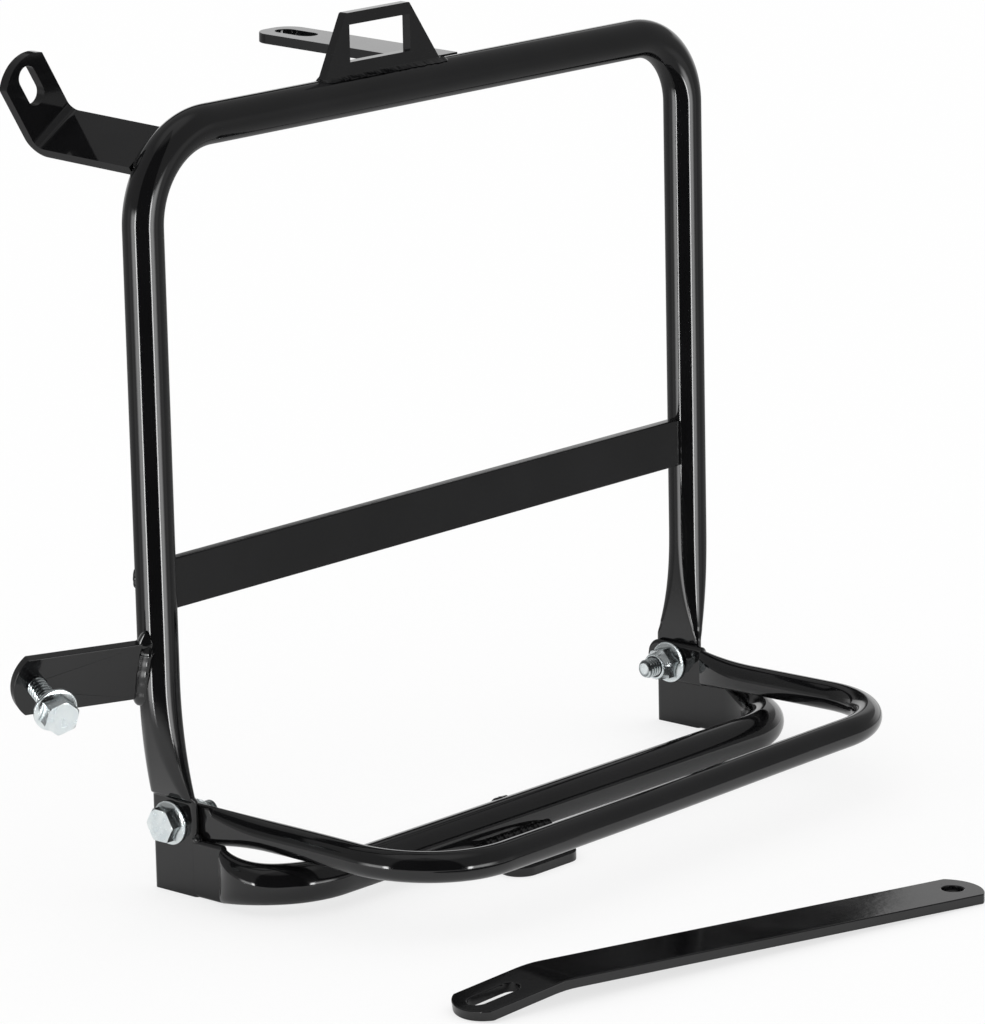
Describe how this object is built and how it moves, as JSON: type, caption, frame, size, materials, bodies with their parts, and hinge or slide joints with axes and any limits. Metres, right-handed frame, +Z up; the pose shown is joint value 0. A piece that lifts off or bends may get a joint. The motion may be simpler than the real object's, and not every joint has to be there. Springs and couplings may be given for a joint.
{
  "type": "pannier frame",
  "caption": "Side pannier frame of bent black tube: upright bow with cross strip and hook plate, fixed foot bow, folding bow on bolted pivots, slotted fixing straps and a loose strut.",
  "frame": {"origin": "on the floor under the middle of the box around the frame and its loose strut", "axes": "+X along the frame from the strap side to the plain side, -Y outward to the bag, +Z up"},
  "size_m": [0.3878, 0.354, 0.3325],
  "materials": {
    "paint": "gloss black paint over welded steel",
    "zinc": "bright zinc plate",
    "nylon": "plain"
  },
  "bodies": {
    "frame": {"upright_bow": "paint", "base_bow": "paint", "cross_strip": "paint", "bag_hook": "paint", "upper_centre_bracket": "paint", "upper_side_bracket": "paint", "lower_side_bracket": "paint", "base_tab": "paint", "support_strut": "paint", "strip_welds": "paint", "hook_welds": "paint", "centre_bracket_weld": "paint", "side_bracket_welds": "paint", "low_bracket_welds": "paint", "tab_welds": "paint", "corner_welds": "paint", "pivot_bolt_left": "zinc", "pivot_bolt_right": "zinc", "pivot_nut_left": "zinc", "pivot_nut_right": "zinc", "bracket_bolt": "zinc", "nut_ring_left": "nylon", "nut_ring_right": "nylon"},
    "folding_bow": {"folding_bow": "paint"}
  },
  "joints": [
    {"name": "fold_pivot", "type": "hinge", "parent": "frame", "child": "folding_bow", "pos_m": [0.02789, 0.08044, 0.0282], "axis": [-1, 0, 0], "range_deg": [-2.7, 81.8]}
  ]
}
